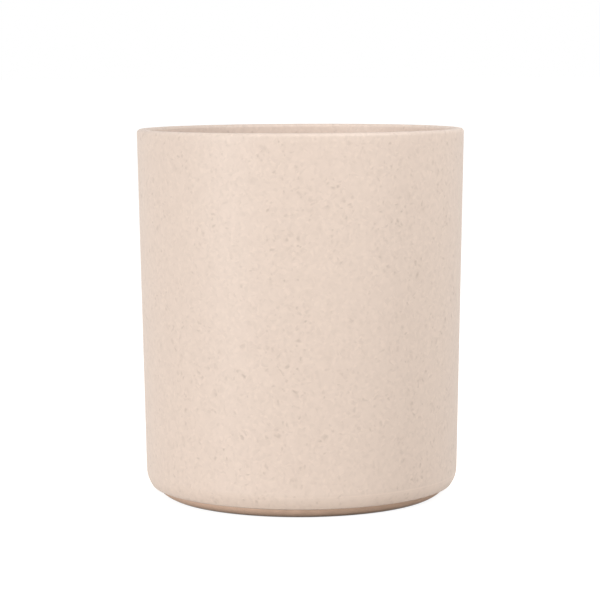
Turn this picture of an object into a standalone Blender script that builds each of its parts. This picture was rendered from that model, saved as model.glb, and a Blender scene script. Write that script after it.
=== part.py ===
"""A handle-less tumbler moulded in a speckled fibre-filled plastic, standing on a soft base pad.

Lengths are in metres and +Z is up. The cup's axis is the Z axis, and the surface that it stands on is z = 0.
Both pieces are turned: each is half of its cross-section, drawn in the XZ plane and swept round the axis.
"""

import math

import bpy
from mathutils import Vector

# The outside of the cup. The foot diameter is the wall's own line carried down to the table.
cup_height = 0.0900
rim_diameter = 0.0800
foot_diameter = 0.0766
corner_radius = 0.0066

# The wall, thinner at the lip than at the foot, because the core that forms it has its own draft.
wall_at_rim = 0.0025
wall_at_foot = 0.0029
lip_outer_round = 0.0009
lip_inner_round = 0.0009

# The floor of the cup, over the recess that locates the pad.
floor_thickness = 0.0025
floor_round = 0.0060

# The base pad. Its side is set back under the cup's lower edge and rounds off down to the table.
pad_height = 0.00235
pad_setback = 0.0011
pad_edge_radius = 0.0043
pad_top_round = 0.0003

# The spigot on top of the pad, and the room that the two pieces leave each other.
spigot_diameter = 0.0600
spigot_height = 0.0012
spigot_round = 0.0003
seat_clearance = 0.0003

# Ring grooves in the underside of the pad, which keep it from sticking to a wet shelf.
groove_count = 3
groove_width = 0.0010
groove_depth = 0.0005
groove_pitch = 0.0060
groove_margin = 0.0050

# How finely the round shapes are cut into facets.
facets_around = 96
facets_per_corner = 7
facets_per_edge = 3
weld_distance = 0.00001

# Heights and radii that follow from the sizes above.
rim_radius = rim_diameter / 2
foot_radius = foot_diameter / 2
spigot_radius = spigot_diameter / 2
cup_underside = pad_height + seat_clearance
spigot_top = pad_height + spigot_height
recess_ceiling = spigot_top + seat_clearance
recess_radius = spigot_radius + seat_clearance
floor_level = recess_ceiling + floor_thickness
draft_angle = math.atan2(rim_radius - foot_radius, cup_height)


def outer_radius(height):
    """Radius of the outer wall at a height: it widens evenly from the foot to the rim."""
    return foot_radius + (rim_radius - foot_radius) * height / cup_height


def inner_radius(height):
    """Radius of the inner wall at a height: the outer wall less the wall's thickness there."""
    wall = wall_at_foot + (wall_at_rim - wall_at_foot) * height / cup_height
    return outer_radius(height) - wall


def arc(centre, radius, start_angle, end_angle, facets):
    """Points on a circle from one angle to another, measured from +X towards +Z."""
    step = (end_angle - start_angle) / facets
    angles = [start_angle + step * index for index in range(facets + 1)]
    return [centre + radius * Vector((math.cos(angle), math.sin(angle))) for angle in angles]


def rounded(before, corner, after, radius, facets):
    """An arc that replaces a corner of the outline and touches the lines on both sides of it."""
    to_before = (before - corner).normalized()
    to_after = (after - corner).normalized()
    half_angle = to_before.angle(to_after) / 2
    centre = corner + (to_before + to_after).normalized() * (radius / math.sin(half_angle))
    start = corner + to_before * (radius / math.tan(half_angle)) - centre
    start_angle = math.atan2(start.y, start.x)
    turn = math.copysign(math.pi - 2 * half_angle, to_after.cross(to_before))
    return arc(centre, radius, start_angle, start_angle + turn, facets)


def cup_corner():
    """The cup's lower corner: an arc tangent to the drafted wall, which the underside cuts short."""
    centre_radius = outer_radius(corner_radius) - corner_radius / math.cos(draft_angle)
    centre = Vector((centre_radius, corner_radius))
    cut_angle = math.asin((cup_underside - corner_radius) / corner_radius)
    return arc(centre, corner_radius, -draft_angle, cut_angle, facets_per_corner)


def cup_outline():
    """Half of the cup's cross-section: floor, inner wall, lip, outer wall, corner, underside, recess."""
    floor_centre = Vector((0, floor_level))
    floor_corner = Vector((inner_radius(floor_level), floor_level))
    lip_inside = Vector((inner_radius(cup_height), cup_height))
    lip_outside = Vector((rim_radius, cup_height))
    wall_foot = Vector((foot_radius, 0))
    outline = [floor_centre]
    outline += rounded(floor_centre, floor_corner, lip_inside, floor_round, facets_per_corner)
    outline += rounded(floor_corner, lip_inside, lip_outside, lip_inner_round, facets_per_edge)
    outline += rounded(lip_inside, lip_outside, wall_foot, lip_outer_round, facets_per_edge)
    outline += cup_corner()
    outline.append(Vector((recess_radius, cup_underside)))
    outline.append(Vector((recess_radius, recess_ceiling)))
    outline.append(Vector((0, recess_ceiling)))
    return outline


def pad_outline():
    """Half of the pad's cross-section: spigot, top, rounded side, underside with its ring grooves."""
    side_top_radius = cup_corner()[-1].x - pad_setback
    start_angle = math.asin((pad_height - pad_edge_radius) / pad_edge_radius)
    rest_radius = side_top_radius - pad_edge_radius * math.cos(start_angle)
    side_centre = Vector((rest_radius, pad_edge_radius))
    side = arc(side_centre, pad_edge_radius, start_angle, -math.pi / 2, facets_per_corner)

    spigot_centre = Vector((0, spigot_top))
    spigot_edge = Vector((spigot_radius, spigot_top))
    spigot_foot = Vector((spigot_radius, pad_height))
    outline = [spigot_centre]
    outline += rounded(spigot_centre, spigot_edge, spigot_foot, spigot_round, facets_per_edge)
    outline.append(spigot_foot)
    outline += rounded(spigot_foot, side[0], side[1], pad_top_round, facets_per_edge)
    outline += side[1:]
    for index in range(groove_count):
        groove_radius = rest_radius - groove_margin - index * groove_pitch
        outer_edge = groove_radius + groove_width / 2
        inner_edge = groove_radius - groove_width / 2
        outline.append(Vector((outer_edge, 0)))
        outline.append(Vector((outer_edge, groove_depth)))
        outline.append(Vector((inner_edge, groove_depth)))
        outline.append(Vector((inner_edge, 0)))
    outline.append(Vector((0, 0)))
    return outline


def plastic(name, colour, roughness):
    """A plain surface with one colour and one roughness."""
    material = bpy.data.materials.new(name)
    material.use_nodes = True
    shader = material.node_tree.nodes["Principled BSDF"]
    shader.inputs["Base Color"].default_value = (*colour, 1)
    shader.inputs["Roughness"].default_value = roughness
    shader.inputs["Metallic"].default_value = 0
    return material


def turned_piece(name, outline, material):
    """A solid of revolution: the outline, from axis to axis, swept a full turn round Z."""
    mesh = bpy.data.meshes.new(name)
    points = [(point.x, 0, point.y) for point in outline]
    edges = [(index, index + 1) for index in range(len(points) - 1)]
    mesh.from_pydata(points, edges, [])
    mesh.materials.append(material)
    piece = bpy.data.objects.new(name, mesh)
    bpy.context.scene.collection.objects.link(piece)
    sweep = piece.modifiers.new("full turn", "SCREW")
    sweep.axis = "Z"
    sweep.angle = math.tau
    sweep.steps = facets_around
    sweep.render_steps = facets_around
    sweep.use_merge_vertices = True
    sweep.merge_threshold = weld_distance
    sweep.use_smooth_shade = True
    return piece


for leftover in list(bpy.data.objects):
    bpy.data.objects.remove(leftover)

beige_plastic = plastic("speckled beige plastic", (0.73, 0.60, 0.52), 0.55)
tan_rubber = plastic("tan pad rubber", (0.67, 0.49, 0.38), 0.80)

turned_piece("cup_body", cup_outline(), beige_plastic)
turned_piece("non_slip_base", pad_outline(), tan_rubber)
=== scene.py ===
# %% [markdown]
# # A speckled bathroom tumbler
#
# The object is a small handle-less cup, moulded in a warm beige plastic that is filled with fine plant
# fibre, and it stands on a soft pad that is let into its underside. The solids of both pieces come ready
# made, at their real size. This script gives them the surface that the eye sees: a smooth lip, a wall with
# the faint unevenness of a moulding, and the specks. The first step loads the solids as a fixed frame.

import math

import bpy
import numpy as np
from mathutils import Matrix, Vector


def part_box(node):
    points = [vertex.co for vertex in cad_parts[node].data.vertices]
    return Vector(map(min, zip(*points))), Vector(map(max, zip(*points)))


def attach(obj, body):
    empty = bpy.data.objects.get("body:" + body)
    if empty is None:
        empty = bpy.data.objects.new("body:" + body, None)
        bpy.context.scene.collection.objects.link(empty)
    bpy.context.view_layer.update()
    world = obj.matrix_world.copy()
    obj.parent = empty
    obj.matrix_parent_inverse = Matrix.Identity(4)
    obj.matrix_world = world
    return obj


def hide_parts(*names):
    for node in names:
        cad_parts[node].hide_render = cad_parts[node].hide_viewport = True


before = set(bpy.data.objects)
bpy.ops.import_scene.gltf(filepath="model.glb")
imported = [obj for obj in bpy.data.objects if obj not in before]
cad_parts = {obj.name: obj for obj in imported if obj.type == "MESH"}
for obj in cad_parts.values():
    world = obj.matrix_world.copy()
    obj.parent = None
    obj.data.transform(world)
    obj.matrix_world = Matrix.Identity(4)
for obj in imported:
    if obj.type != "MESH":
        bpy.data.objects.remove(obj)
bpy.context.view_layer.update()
cup_low, cup_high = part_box("cup_body")
pad_low, pad_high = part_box("non_slip_base")
print("cup solid from", tuple(cup_low), "to", tuple(cup_high))
print("pad solid from", tuple(pad_low), "to", tuple(pad_high))

# %% [markdown]
# ## Sizes
#
# A turned object needs only half of its cross-section. The overall sizes are read from the frame, so the
# surface always fits the solid that it covers. What the box of a solid can't tell, such as a wall or a
# rounding, is written once, in millimetres, in the step that needs it first. The solids leave a small gap
# between cup and pad. On the real object the two touch, so the surfaces meet in the middle of that gap.

# %% Overall sizes and the seat of the pad
MM = 0.001

rim_radius = 0.5 * (cup_high.x - cup_low.x)
cup_height = cup_high.z
seat_gap = 0.3 * MM
joint_height = cup_low.z - 0.5 * seat_gap
spigot_top = pad_high.z
spigot_radius = 30.0 * MM
recess_ceiling = spigot_top + seat_gap
recess_radius = spigot_radius + seat_gap
print("rim", round(2 * rim_radius / MM, 2), "mm across, height", round(cup_height / MM, 2), "mm")
print("cup and pad meet", round(joint_height / MM, 2), "mm above the table")

# %% [markdown]
# ## Drawing an outline
#
# The outline is drawn like a lathe template: straight runs joined by arcs. Each run is cut into short steps
# so that the turned surface can later be bent a little. Runs and arcs are arrays with one row per point,
# radius first and height second. A run leaves out its end, because the next piece starts there. An arc
# stops one step short of its end, and the straight run that follows goes on from there.

# %% Straight runs and arcs
def run(start, end, step):
    """Points from start towards end: start + (end - start) * k / n, without the end itself."""
    start, end = np.array(start), np.array(end)
    count = max(1, math.ceil(np.linalg.norm(end - start) / step))
    share = np.arange(count)[:, None] / count
    return start + (end - start) * share


def arc(centre, radius, start_angle, end_angle, count):
    """Points on a circle: centre + radius * (cos a, sin a), with a running from start to end angle."""
    angle = start_angle + (end_angle - start_angle) * np.arange(count) / count
    return np.array(centre) + radius * np.column_stack((np.cos(angle), np.sin(angle)))


def point(radius, height):
    """A corner point of the outline, as an array with one row."""
    return np.array([[radius, height]])


print("three steps round a quarter circle:", arc((0, 0), 1, 0, math.pi / 2, 3).round(2).tolist())

# %% [markdown]
# ## Rounding a corner
#
# A moulded edge is never sharp, so each corner of the template gets a round. The arc has to touch both of
# the lines that meet in the corner. Its centre therefore lies on the line that halves the angle between
# them, and its distance from the corner is the radius over the sine of half that angle.

# %% Rounded corners and whole outlines
def rounding(before, corner, after, radius, count):
    """The arc that replaces a corner: it touches the lines to the points before and after the corner."""
    before, corner, after = np.array(before), np.array(corner), np.array(after)
    to_before = (before - corner) / np.linalg.norm(before - corner)
    to_after = (after - corner) / np.linalg.norm(after - corner)
    half_angle = math.acos(float(to_before @ to_after)) / 2
    middle = (to_before + to_after) / np.linalg.norm(to_before + to_after)
    centre = corner + middle * radius / math.sin(half_angle)
    start = corner + to_before * radius / math.tan(half_angle) - centre
    start_angle = math.atan2(start[1], start[0])
    sign = math.copysign(1, to_after[0] * to_before[1] - to_after[1] * to_before[0])
    return arc(centre, radius, start_angle, start_angle + sign * (math.pi - 2 * half_angle), count + 1)


def joined(pieces, step):
    """One outline from arcs and corner points, with straight runs between one piece and the next."""
    outline = []
    for here, following in zip(pieces[:-1], pieces[1:]):
        outline.append(here[:-1])
        outline.append(run(here[-1], following[0], step))
    outline.append(pieces[-1])
    return np.vstack(outline)


example_round = rounding(before=(0, 2), corner=(0, 0), after=(2, 0), radius=1, count=3)
print("a round of 1 in a square corner:", example_round.round(2).tolist())

# %% [markdown]
# ## The cup's outline
#
# On the real cup the mould gives both walls a draft of about one degree so that the part lets go of the
# core. The outline starts on the axis at the inner floor, climbs the inner wall, crosses the lip and comes
# down the outside, which keeps the faces pointing outwards when it is turned. The lower corner is a large
# arc that the pad's joint cuts short, as the photograph shows.

# %% The cup's walls and lower corner
foot_narrowing = 1.7 * MM
foot_radius = rim_radius - foot_narrowing
wall_at_rim = 2.5 * MM
wall_at_foot = 2.9 * MM
corner_radius = 6.6 * MM
corner_points = 32


def outer_radius(height):
    """Outer wall: it widens evenly from the foot to the rim."""
    return foot_radius + (rim_radius - foot_radius) * height / cup_height


def inner_radius(height):
    """Inner wall: the outer wall less a thickness that shrinks evenly towards the rim."""
    return outer_radius(height) - wall_at_foot - (wall_at_rim - wall_at_foot) * height / cup_height


draft_angle = math.atan2(rim_radius - foot_radius, cup_height)
corner_centre = (outer_radius(corner_radius) - corner_radius / math.cos(draft_angle), corner_radius)
corner_cut = math.asin((joint_height - corner_radius) / corner_radius)
corner_arc = arc(corner_centre, corner_radius, -draft_angle, corner_cut, corner_points)
skirt_radius = corner_centre[0] + corner_radius * math.cos(corner_cut)
print("draft of the outer wall", round(math.degrees(draft_angle), 2), "degrees")
print("the cup's lower edge lies", round(skirt_radius / MM, 2), "mm from the axis")

# %% The cup's outline
lip_round = 0.9 * MM
lip_points = 10
floor_thickness = 2.5 * MM
floor_round = 6.0 * MM
floor_points = 20
skirt_round = 0.5 * MM
skirt_points = 8
cup_step = 1.6 * MM

floor_level = recess_ceiling + floor_thickness
floor_middle = (0, floor_level)
floor_corner = (inner_radius(floor_level), floor_level)
lip_inside = (inner_radius(cup_height), cup_height)
lip_outside = (rim_radius, cup_height)
wall_foot = (foot_radius, 0)
skirt_edge = (skirt_radius, joint_height)
recess_edge = (recess_radius, joint_height)

cup_outline = joined(
    [
        point(*floor_middle),
        rounding(floor_middle, floor_corner, lip_inside, floor_round, floor_points),
        rounding(floor_corner, lip_inside, lip_outside, lip_round, lip_points),
        rounding(lip_inside, lip_outside, wall_foot, lip_round, lip_points),
        corner_arc,
        rounding(corner_arc[-1], skirt_edge, recess_edge, skirt_round, skirt_points),
        point(*recess_edge),
        point(recess_radius, recess_ceiling),
        point(0, recess_ceiling),
    ],
    step=cup_step,
)
print("cup outline:", len(cup_outline), "points, widest", round(cup_outline[:, 0].max() / MM, 3), "mm")

# %% [markdown]
# ## The pad's outline
#
# The pad is a soft disc with a round spigot on top, which sits in the cup's recess. Only its side shows: a
# band about two and a half millimetres high, set back from the cup's edge and rounding in towards the
# table. Shallow ring grooves underneath keep it from sticking to a wet shelf.

# %% The pad's side and grooves
joint_gap = 0.06 * MM
pad_setback = 1.1 * MM
pad_edge_radius = 4.3 * MM
side_points = 24
groove_count = 3
groove_width = 1.0 * MM
groove_depth = 0.5 * MM
groove_pitch = 6.0 * MM
groove_margin = 5.0 * MM

pad_top = joint_height - joint_gap
pad_side_radius = skirt_radius - pad_setback
side_start = math.asin((pad_top - pad_edge_radius) / pad_edge_radius)
rest_radius = pad_side_radius - pad_edge_radius * math.cos(side_start)
pad_side = arc((rest_radius, pad_edge_radius), pad_edge_radius, side_start, -math.pi / 2, side_points)


def groove(number):
    """Four corner points of one ring groove in the underside, counted from the pad's edge inwards."""
    middle = rest_radius - groove_margin - number * groove_pitch
    outer, inner = middle + groove_width / 2, middle - groove_width / 2
    return [point(outer, 0), point(outer, groove_depth), point(inner, groove_depth), point(inner, 0)]


print("flat face", round(2 * rest_radius / MM, 1), "mm across, with", groove_count, "ring grooves")

# %% The pad's outline
small_round = 0.2 * MM
spigot_points = 4
top_edge_points = 5
pad_step = 1.3 * MM

spigot_middle = (0, spigot_top)
spigot_edge = (spigot_radius, spigot_top)
spigot_foot = (spigot_radius, pad_top)

pad_outline = joined(
    [
        point(*spigot_middle),
        rounding(spigot_middle, spigot_edge, spigot_foot, small_round, spigot_points),
        point(*spigot_foot),
        rounding(spigot_foot, pad_side[0], pad_side[1], small_round, top_edge_points),
        pad_side[2:],
        point(rest_radius, 0),
        *[corner for number in range(groove_count) for corner in groove(number)],
        point(0, 0),
    ],
    step=pad_step,
)
print("pad outline:", len(pad_outline), "points, widest", round(pad_outline[:, 0].max() / MM, 3), "mm")

# %% [markdown]
# ## A wall that sways a little
#
# A moulding shrinks unevenly as it cools, most of all at its open rim, and the light on a smooth wall shows
# it. A few cosine waves round the axis make the same slow unevenness. They only ever draw the wall inwards,
# by a twentieth of a millimetre at most, so the surface never leaves the solid's box.

# %% Sway of the wall
most_shrinkage = 0.05 * MM
sway_waves = ((2, 0.25, 0.7), (3, 0.15, -1.1), (5, 0.10, 2.0))


def shrink_sway(angle, height):
    """How far the wall is drawn in at an angle and a height. Each wave is a number, a share and a phase.

    most_shrinkage * (0.5 - sum of share * cos(number * angle + phase)) * height / cup_height
    """
    waves = 0.5
    for number, share, phase in sway_waves:
        waves = waves - share * np.cos(number * angle + phase)
    return most_shrinkage * waves * np.clip(height / cup_height, 0, 1)


def no_sway(angle, height):
    """The low pad keeps its shape: nothing at any angle and height."""
    return 0 * angle * height


print("the rim is drawn in by", round(shrink_sway(0.0, cup_height) / MM, 3), "mm at +X")

# %% [markdown]
# ## Turning an outline into a surface
#
# A surface of revolution is a function of two parameters: how far along the outline, and how far round the
# axis. Blender's Screw modifier makes the same shape, but a grid of points worked out here can take the
# sway as well. The two ends lie on the axis and close in a fan of triangles.

# %% Turning
facets_around = 360


def turned(name, outline, sway):
    """Surface of revolution: x = (r - sway) cos a, y = (r - sway) sin a, z = height, on a grid of rings."""
    rings = outline[1:-1]
    angle = np.arange(facets_around) * math.tau / facets_around
    ring_radius = rings[:, 0][:, None]
    ring_height = rings[:, 1][:, None]
    radius = ring_radius - sway(angle[None, :], ring_height) * np.minimum(1, ring_radius / foot_radius)
    grid = np.stack((radius * np.cos(angle), radius * np.sin(angle), ring_height + 0 * radius), axis=2)
    start_pole = np.array([[0, 0, outline[0, 1]]])
    end_pole = np.array([[0, 0, outline[-1, 1]]])
    vertices = np.vstack((grid.reshape(-1, 3), start_pole, end_pole))

    column = np.arange(facets_around)
    right = (column + 1) % facets_around
    upper = np.arange(len(rings) - 1)[:, None] * facets_around
    lower = upper + facets_around
    quads = np.stack((upper + column, lower + column, lower + right, upper + right), axis=2).reshape(-1, 4)
    start_index = len(vertices) - 2
    end_index = len(vertices) - 1
    last_ring = (len(rings) - 1) * facets_around
    start_fan = np.column_stack((np.full(facets_around, start_index), column, right))
    end_fan = np.column_stack((last_ring + column, np.full(facets_around, end_index), last_ring + right))

    mesh = bpy.data.meshes.new(name)
    mesh.from_pydata(vertices, [], quads.tolist() + start_fan.tolist() + end_fan.tolist())
    mesh.shade_smooth()
    piece = bpy.data.objects.new(name, mesh)
    bpy.context.scene.collection.objects.link(piece)
    return piece


print("one facet is", round(math.tau * rim_radius / facets_around / MM, 2), "mm wide at the rim")

# %% Turn both pieces
cup = turned("tumbler_cup", cup_outline, shrink_sway)
pad = turned("tumbler_base_pad", pad_outline, no_sway)
for piece in (cup, pad):
    triangles = sum(len(face.vertices) - 2 for face in piece.data.polygons)
    print(piece.name, "has", triangles, "triangles")

# %% [markdown]
# ## Helpers for materials
#
# Every pattern reads Object coordinates, which are metres here, so the scale of a noise of a given grain is
# simply one over that grain. Building nodes by hand is wordy, so small helpers add a node with its settings
# and do arithmetic on sockets, and two more carry a value into another range and mix two colours.

# %% Nodes and arithmetic
def new_material(name):
    """A node material with its Principled shader wired up: gives the material, its tree and the shader."""
    material = bpy.data.materials.new(name)
    material.use_nodes = True
    return material, material.node_tree, material.node_tree.nodes["Principled BSDF"]


def set_or_link(tree, socket, value):
    """Links a socket to another one, or sets it to a plain value."""
    if isinstance(value, bpy.types.NodeSocket):
        tree.links.new(value, socket)
    else:
        socket.default_value = value


def add_node(tree, kind, inputs=(), **settings):
    """Adds a node, sets its own settings, and fills or links the inputs given as (name, value) pairs."""
    node = tree.nodes.new(kind)
    for name, value in settings.items():
        setattr(node, name, value)
    for name, value in inputs:
        set_or_link(tree, node.inputs[name], value)
    return node


def maths(tree, operation, *values):
    """One Math node on numbers or sockets."""
    return add_node(tree, "ShaderNodeMath", list(enumerate(values)), operation=operation).outputs[0]


operations = bpy.types.ShaderNodeMath.bl_rna.properties["operation"].enum_items
print("the Math node has a choice of", len(operations), "operations")

# %% Ranges, noise and mixes
def ramp(tree, value, low, high, new_low, new_high):
    """Carries a value smoothly from one range to another and holds it at the ends."""
    inputs = [("Value", value), ("From Min", low), ("From Max", high)]
    inputs += [("To Min", new_low), ("To Max", new_high)]
    return add_node(tree, "ShaderNodeMapRange", inputs, interpolation_type="SMOOTHSTEP").outputs["Result"]


def noise(tree, position, grain, detail=2.0, roughness=0.5):
    """Noise whose features are about one grain across, between 0 and 1."""
    inputs = [("Vector", position), ("Scale", 1 / grain), ("Detail", detail), ("Roughness", roughness)]
    return add_node(tree, "ShaderNodeTexNoise", inputs).outputs["Fac"]


def mixed(tree, share, first, second):
    """Mixes two colours by a share. The node has sockets for each data type, so they are found by type."""
    node = add_node(tree, "ShaderNodeMix", data_type="RGBA")
    colours = [socket for socket in node.inputs if socket.type == "RGBA"]
    for socket, value in ((node.inputs["Factor"], share), (colours[0], first), (colours[1], second)):
        set_or_link(tree, socket, value)
    return [socket for socket in node.outputs if socket.type == "RGBA"][0]


example_grain = 0.5 * MM
print("a grain of half a millimetre is a noise scale of", round(1 / example_grain))

# %% [markdown]
# ## Specks in the plastic
#
# The filler shows as specks of ground fibre. In the real plastic they are small bodies scattered through
# the whole wall, and the surface cuts through some of them. A 3-D Voronoi pattern works the same way: each
# cell holds one point, and what lies near that point is speck. How large and how strong a speck is has to
# be chance, but the cell's own random colour is the very same number that places its point, so it would
# line up strong specks in rows. A white noise that reads this colour gives a chance of its own.

# %% Scattered blobs
def scattered(tree, position, spacing, reach, least_size):
    """Soft blobs round random points: 1 at the heart, 0 at the blob's reach, and a chance for each blob."""
    inputs = [("Vector", position), ("Scale", 1 / spacing), ("Randomness", 1.0)]
    cells = add_node(tree, "ShaderNodeTexVoronoi", inputs, feature="F1", voronoi_dimensions="3D")
    key = [("Vector", cells.outputs["Color"])]
    own = add_node(tree, "ShaderNodeTexWhiteNoise", key, noise_dimensions="3D")
    chance = add_node(tree, "ShaderNodeSeparateColor", [("Color", own.outputs["Color"])])
    widest = reach / spacing
    size = maths(tree, "MULTIPLY_ADD", chance.outputs["Red"], (1 - least_size) * widest, least_size * widest)
    share = maths(tree, "DIVIDE", cells.outputs["Distance"], size)
    return ramp(tree, share, 0.0, 1.0, 1.0, 0.0), chance.outputs["Blue"]


example_spacing = 2.0 * MM
blobs_per_centimetre = 10 * MM / example_spacing
print("at a spacing of two millimetres, a cubic centimetre holds", round(blobs_per_centimetre**3), "blobs")

# %% Specks and mottle
smallest_speck = 0.6
smallest_patch = 1.0
middle_tone = 0.5


def specks(tree, position, spacing, reach, rarity, strength):
    """Dark specks: blob * chance ** rarity * strength, so a high rarity leaves only a few strong ones."""
    blob, chance = scattered(tree, position, spacing, reach, smallest_speck)
    weight = maths(tree, "MULTIPLY", maths(tree, "POWER", chance, rarity), strength)
    return maths(tree, "MULTIPLY", blob, weight)


def mottle(tree, position, spacing, reach):
    """Patches that are paler or darker by chance: 0.5 between them, down to 0 and up to 1 at their hearts."""
    blob, chance = scattered(tree, position, spacing, reach, smallest_patch)
    return maths(tree, "MULTIPLY_ADD", blob, maths(tree, "SUBTRACT", chance, middle_tone), middle_tone)


for rarity in (1, 4):
    print("rarity", rarity, "leaves", round(1 - 0.5 ** (1 / rarity), 2), "of the specks over half strength")

# %% [markdown]
# ## Crumbs instead of dots
#
# A round blob would look printed. Ground fibre is irregular, and most bits are a little longer than wide.
# So the position that a pattern reads is pushed about by noise first: a slow push draws the specks out, and
# a fine one on top of it makes crumbs of them.

# %% Pushing a position about
slow_push = {"grain": 2.5 * MM, "reach": 2.2 * MM}
fine_push = {"grain": 0.7 * MM, "reach": 0.8 * MM}


def pushed(tree, position, grain, reach):
    """Position moved by noise: position + reach * (noise colour - 0.5), with features one grain across."""
    inputs = [("Vector", position), ("Scale", 1 / grain), ("Detail", 1.0)]
    push = add_node(tree, "ShaderNodeTexNoise", inputs).outputs["Color"]
    middle = (0.5, 0.5, 0.5)
    centred = add_node(tree, "ShaderNodeVectorMath", [(0, push), (1, middle)], operation="SUBTRACT")
    scaled = add_node(
        tree, "ShaderNodeVectorMath", [(0, centred.outputs[0]), ("Scale", reach)], operation="SCALE"
    )
    moved = add_node(tree, "ShaderNodeVectorMath", [(0, position), (1, scaled.outputs[0])], operation="ADD")
    return moved.outputs[0]


most_push = 0.5 * (slow_push["reach"] + fine_push["reach"])
print("a position moves by", round(most_push / MM, 2), "mm along each axis at the very most")

# %% [markdown]
# ## The trace of the mould and painted bounce light
#
# Where the lower corner begins, the photograph has a faint pale line, clearest on the right: the trace of
# two mould parts, with painted bounce light on it. It has no height of its own, so it is colour and not a
# ridge. The corner below the line is painted paler as well, as painted bounce light from the floor, and the
# line and the paler corner are both painted stronger towards +X.

# %% Mould trace and painted bounce light
line_level = 5.5 * MM
line_half = 0.45 * MM
# The paler corner below the line and the strength that grows towards +X are painted bounce light.
painted_bounce_share = 0.8
weak_bounce_x, weak_bounce_strength = -20.0 * MM, 0.05
strong_bounce_x, strong_bounce_strength = 25.0 * MM, 0.75


def trace_and_painted_bounce(tree, position):
    """Pale trace with painted bounce light: 1 on its line, 0.8 painted below it, 0 above it, painted stronger
    to +X.
    """
    axes = add_node(tree, "ShaderNodeSeparateXYZ", [("Vector", position)])
    height = axes.outputs["Z"]
    off_line = maths(tree, "ABSOLUTE", maths(tree, "SUBTRACT", height, line_level))
    line = ramp(tree, off_line, 0.0, line_half, 1.0, 0.0)
    # Painted bounce light: the corner below the line is painted paler, and the side ramp paints it all
    # stronger towards +X.
    below = ramp(tree, height, line_level - line_half, line_level, painted_bounce_share, 0.0)
    side = ramp(tree, axes.outputs["X"], weak_bounce_x, strong_bounce_x, weak_bounce_strength, strong_bounce_strength)
    return maths(tree, "MULTIPLY", maths(tree, "MAXIMUM", line, below), side)


print("mould trace", line_level / MM, "mm above the table,", 2 * line_half / MM, "mm wide")

# %% [markdown]
# ## The speckled plastic
#
# Four patterns make the surface: a fine mottle of paler and darker patches, small specks, faint smudges
# where fibres lie just under the skin, and a few bold flecks. The melt carries its filler unevenly, so a
# slow noise brings the specks and smudges out in some places and lets them fade in others. The base colour
# itself stays the same all over, because clouds in it show at once on a wall as plain as this one. The
# finish is silky: fine grit in the bump, a middling roughness that wanders a little, and specks that are
# slightly duller and sunk.

# %% Sizes and tones of the plastic
small_specks = {"spacing": 1.4 * MM, "reach": 0.78 * MM, "rarity": 1.2, "strength": 0.22}
faint_smudges = {"spacing": 1.9 * MM, "reach": 1.20 * MM, "rarity": 1.2, "strength": 0.085}
bold_flecks = {"spacing": 3.4 * MM, "reach": 0.85 * MM, "rarity": 4.0, "strength": 0.31}
patches = {"spacing": 0.85 * MM, "reach": 0.90 * MM}
crowd_grain = 6.0 * MM
crowd_noise_low, crowd_noise_high = 0.35, 0.65
thinnest, thickest = 0.25, 1.5

darker_patch = (0.697, 0.577, 0.499, 1)
paler_patch = (0.786, 0.653, 0.564, 1)
trace_and_bounce_colour = (0.83, 0.69, 0.60, 1)
fibre_colour = (0.23, 0.165, 0.125, 1)

fine_grit = {"grain": 0.45 * MM, "detail": 3.0, "roughness": 0.6}
grit_depth = 0.012 * MM
base_roughness, grit_roughness, speck_roughness = 0.42, 0.16, 0.25
plastic_specular = 0.4

specks_cut = 2 * small_specks["reach"] / small_specks["spacing"] ** 3 * (10 * MM) ** 2
print("a square centimetre of surface cuts through up to", round(specks_cut), "small specks")

# %% Speckled plastic
def speckled_plastic():
    """Warm beige plastic with fibre specks. Every pattern lies in space, so inside and outside match."""
    material, tree, shader = new_material("speckled beige plastic")
    place = add_node(tree, "ShaderNodeTexCoord").outputs["Object"]
    crumbly = pushed(tree, pushed(tree, place, **slow_push), **fine_push)

    small = specks(tree, crumbly, **small_specks)
    smudges = specks(tree, crumbly, **faint_smudges)
    bold = specks(tree, crumbly, **bold_flecks)
    filler = noise(tree, place, crowd_grain)
    crowding = ramp(tree, filler, crowd_noise_low, crowd_noise_high, thinnest, thickest)
    crowd = maths(tree, "MULTIPLY", maths(tree, "ADD", small, smudges), crowding)
    dark = maths(tree, "MAXIMUM", crowd, bold)

    body = mixed(tree, mottle(tree, crumbly, **patches), darker_patch, paler_patch)
    # Mixes in the mould trace together with its painted bounce light.
    with_trace_and_bounce = mixed(tree, trace_and_painted_bounce(tree, place), body, trace_and_bounce_colour)
    tree.links.new(mixed(tree, dark, with_trace_and_bounce, fibre_colour), shader.inputs["Base Color"])

    grit = noise(tree, place, **fine_grit)
    speck_dullness = maths(tree, "MULTIPLY_ADD", dark, speck_roughness, base_roughness)
    dullness = maths(tree, "MULTIPLY_ADD", grit, grit_roughness, speck_dullness)
    tree.links.new(dullness, shader.inputs["Roughness"])
    relief = maths(tree, "SUBTRACT", grit, dark)
    bump_inputs = [("Strength", 1.0), ("Distance", grit_depth), ("Height", relief)]
    bump = add_node(tree, "ShaderNodeBump", bump_inputs)
    tree.links.new(bump.outputs["Normal"], shader.inputs["Normal"])
    shader.inputs["Specular IOR Level"].default_value = plastic_specular
    return material


cup.data.materials.append(speckled_plastic())
print("material of the cup:", cup.data.materials[0].name)

# %% [markdown]
# ## The pad's elastomer
#
# The pad is a plain tan elastomer, a shade darker than the cup. Such a soft part comes out of its mould
# quite dull, with a fine matte grain and a slightly blotchy tone, so it needs no pattern beyond that.

# %% Pad elastomer
soft_blotches = {"grain": 2.5 * MM, "detail": 3.0, "roughness": 0.55}
matte_grain = {"grain": 0.25 * MM, "roughness": 0.6}
blotch_share, grain_share = 0.7, 0.3
darker_blotch = (0.663, 0.476, 0.364, 1)
paler_blotch = (0.765, 0.555, 0.431, 1)
noise_low, noise_high = 0.3, 0.7
least_dull, most_dull = 0.68, 0.84
grain_depth = 0.02 * MM
pad_specular = 0.3


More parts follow.
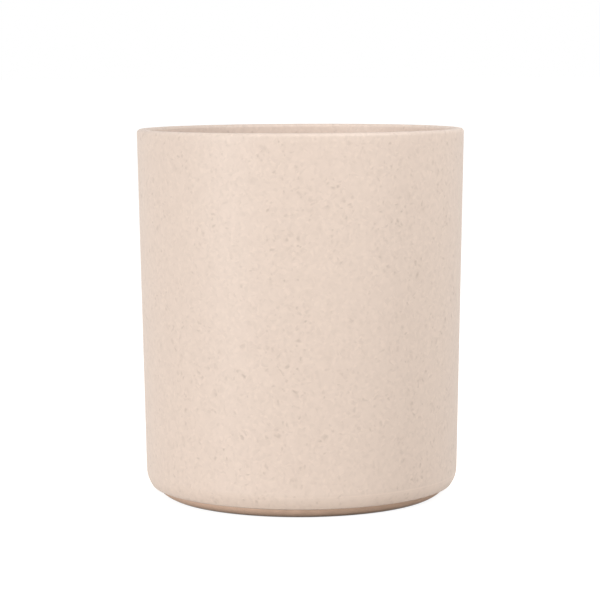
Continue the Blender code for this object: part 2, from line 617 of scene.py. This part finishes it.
def pad_elastomer():
    """Matte tan elastomer with a fine moulded grain."""
    material, tree, shader = new_material("tan elastomer")
    place = add_node(tree, "ShaderNodeTexCoord").outputs["Object"]
    blotch = maths(tree, "MULTIPLY", noise(tree, place, **soft_blotches), blotch_share)
    grain = noise(tree, place, **matte_grain)
    tone = maths(tree, "ADD", blotch, maths(tree, "MULTIPLY", grain, grain_share))
    colour = mixed(tree, ramp(tree, tone, noise_low, noise_high, 0.0, 1.0), darker_blotch, paler_blotch)
    tree.links.new(colour, shader.inputs["Base Color"])
    dullness = ramp(tree, grain, noise_low, noise_high, least_dull, most_dull)
    tree.links.new(dullness, shader.inputs["Roughness"])
    bump_inputs = [("Strength", 1.0), ("Distance", grain_depth), ("Height", grain)]
    bump = add_node(tree, "ShaderNodeBump", bump_inputs)
    tree.links.new(bump.outputs["Normal"], shader.inputs["Normal"])
    shader.inputs["Specular IOR Level"].default_value = pad_specular
    return material


pad.data.materials.append(pad_elastomer())
print("material of the pad:", pad.data.materials[0].name)

# %% [markdown]
# ## Tying the pieces to the frame
#
# Each surface stands for one solid of the frame and rides on the same body as that solid.

# %% Ride and replace
for piece, node, slot in (
    (cup, "cup_body", "speckled_plastic"),
    (pad, "non_slip_base", "pad_rubber"),
):
    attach(piece, "root")
    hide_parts(node)
    print(piece.name, "replaces", node)

# %% [markdown]
# ## Floor
#
# The photograph is a product shot on pure white. The floor is a pale matte sheet, and a glow that shows
# only where the sheet itself is seen or mirrored lifts it to white. So the cup still gets plain light from
# it and still drops its own soft shadow on it. The glow fades out just before the pad, where the floor lies
# in deep shadow. Under the cup's edge a painted shadow makes the sheet itself darker, so that little light
# comes back up from it and the lowest part of the pad stays dark, as the photograph shows. The glow is a
# little stronger over this painted shadow, and the ring looks as white as the rest.

# %% Floor material
contact_margin = 0.5 * MM
contact_radius = rest_radius + contact_margin
shadow_edge = 0.9 * MM
painted_shadow_width = 6.0 * MM
# Painted shadow: the sheet's colour under the cup's edge, and the open sheet's colour further out.
painted_shadow_sheet = (0.157, 0.151, 0.143, 1)
open_sheet = (0.63, 0.606, 0.573, 1)
glow_over_painted_shadow, glow_in_open = 0.94, 0.80


def seen_directly(tree):
    """1 for rays that show the background itself: camera, glossy and transmission rays."""
    path = add_node(tree, "ShaderNodeLightPath")
    either = maths(tree, "MAXIMUM", path.outputs["Is Camera Ray"], path.outputs["Is Glossy Ray"])
    return maths(tree, "MAXIMUM", either, path.outputs["Is Transmission Ray"])


def white_floor():
    """Pale matte floor with a painted shadow ring under the cup's edge. Its glow is only seen directly and
    stops at the pad.
    """
    material, tree, shader = new_material("white studio floor")
    shader.inputs["Roughness"].default_value = 1.0
    shader.inputs["Specular IOR Level"].default_value = 0.0
    place = add_node(tree, "ShaderNodeTexCoord").outputs["Object"]
    from_axis = add_node(tree, "ShaderNodeVectorMath", [(0, place)], operation="LENGTH").outputs["Value"]
    painted_shadow_end = contact_radius + painted_shadow_width
    # Painted shadow: under the cup's edge the sheet's colour is painted darker, fading out over a few
    # millimetres.
    sheet_share = ramp(tree, from_axis, contact_radius, painted_shadow_end, 0.0, 1.0)
    tree.links.new(mixed(tree, sheet_share, painted_shadow_sheet, open_sheet), shader.inputs["Base Color"])
    clear = ramp(tree, from_axis, contact_radius, contact_radius + shadow_edge, 0.0, 1.0)
    full_glow = ramp(tree, from_axis, contact_radius, painted_shadow_end, glow_over_painted_shadow, glow_in_open)
    glow = maths(tree, "MULTIPLY", seen_directly(tree), maths(tree, "MULTIPLY", clear, full_glow))
    shader.inputs["Emission Color"].default_value = (1, 1, 1, 1)
    tree.links.new(glow, shader.inputs["Emission Strength"])
    return material


print("the glow starts", round(contact_radius / MM, 2), "mm from the axis")

# %% Floor
sheet_half = 12.0
sheet_corners = [(-sheet_half, -sheet_half, 0), (sheet_half, -sheet_half, 0)]
sheet_corners += [(sheet_half, sheet_half, 0), (-sheet_half, sheet_half, 0)]
floor_mesh = bpy.data.meshes.new("studio_floor")
floor_mesh.from_pydata(sheet_corners, [], [(0, 1, 2, 3)])
floor_mesh.materials.append(white_floor())
studio_floor = bpy.data.objects.new("studio_floor", floor_mesh)
bpy.context.scene.collection.objects.link(studio_floor)
print("floor", 2 * sheet_half, "m across")

# %% [markdown]
# ## World
#
# The world does the same as the floor: it is white where it is seen, and a soft, even dome to the cup. The
# dome fills the shadows, so that the lamps only have to give the light a side.

# %% World
dome_strength = 0.44

world = bpy.data.worlds.new("white studio")
bpy.context.scene.world = world
world.use_nodes = True
dome = world.node_tree.nodes["Background"]
dome.inputs["Color"].default_value = (1, 1, 1, 1)
lift = maths(world.node_tree, "MULTIPLY", seen_directly(world.node_tree), 1 - dome_strength)
world.node_tree.links.new(maths(world.node_tree, "ADD", lift, dome_strength), dome.inputs["Strength"])
print("dome strength", dome_strength)

# %% [markdown]
# ## Lamps
#
# The light in the photograph is very even: the wall is brightest left of the middle and falls off by only a
# few percent to the right, but the band under the cup is clearly darker on the right. A low soft box on the
# left makes that difference, because it reaches in under the cup's edge on its own side. A weak high one
# further round lifts the left edge a little, and one close by on the right lights the lip and the inside.
# Each lamp is placed by the direction it comes from, and aimed at the cup's middle.

# %% Soft boxes
aim = Vector((0, 0, cup_height / 2))


def soft_box(name, azimuth, elevation, distance, side, power):
    """A square area lamp that looks at the cup. Azimuth 0 is the camera's side and 90 the cup's right."""
    lamp = bpy.data.lights.new(name, "AREA")
    lamp.shape = "SQUARE"
    lamp.size = side
    lamp.energy = power
    turn, climb = math.radians(azimuth), math.radians(elevation)
    flat = math.cos(climb)
    direction = Vector((math.sin(turn) * flat, -math.cos(turn) * flat, math.sin(climb)))
    holder = bpy.data.objects.new(name, lamp)
    holder.location = aim + direction * distance
    holder.rotation_euler = direction.to_track_quat("Z", "Y").to_euler()
    holder.visible_camera = False
    bpy.context.scene.collection.objects.link(holder)
    print(name, "at", tuple(round(value, 2) for value in holder.location), "with", power, "W")


soft_box("low left soft box", azimuth=-50, elevation=8, distance=1.5, side=0.4, power=10.5)
soft_box("high left soft box", azimuth=-70, elevation=40, distance=0.8, side=0.35, power=0.6)
soft_box("near right soft box", azimuth=50, elevation=42, distance=0.4, side=0.3, power=0.97)

# %% [markdown]
# ## Camera
#
# The camera's place was found by fitting the cup's outline in the photograph: a long lens about half a
# metre away, just above the rim, tilted down by six degrees and rolled by a quarter of a degree.

# %% Camera
focal_length_mm = 135.1
sensor_width_mm = 36.0
camera_side = -0.25 * MM
camera_distance = 552.5 * MM
camera_height = 106.6 * MM
tilt_down = math.radians(6.085)
roll = math.radians(0.25)

lens = bpy.data.cameras.new("photo camera")
lens.lens = focal_length_mm
lens.sensor_width = sensor_width_mm
camera = bpy.data.objects.new("photo camera", lens)
bpy.context.scene.collection.objects.link(camera)
stand = Matrix.Translation((camera_side, -camera_distance, camera_height))
tilt = Matrix.Rotation(math.pi / 2 - tilt_down, 4, "X")
camera.matrix_world = stand @ tilt @ Matrix.Rotation(-roll, 4, "Z")
bpy.context.scene.camera = camera
bpy.context.scene.view_settings.view_transform = "Standard"
print("camera at", tuple(round(value, 4) for value in camera.location))
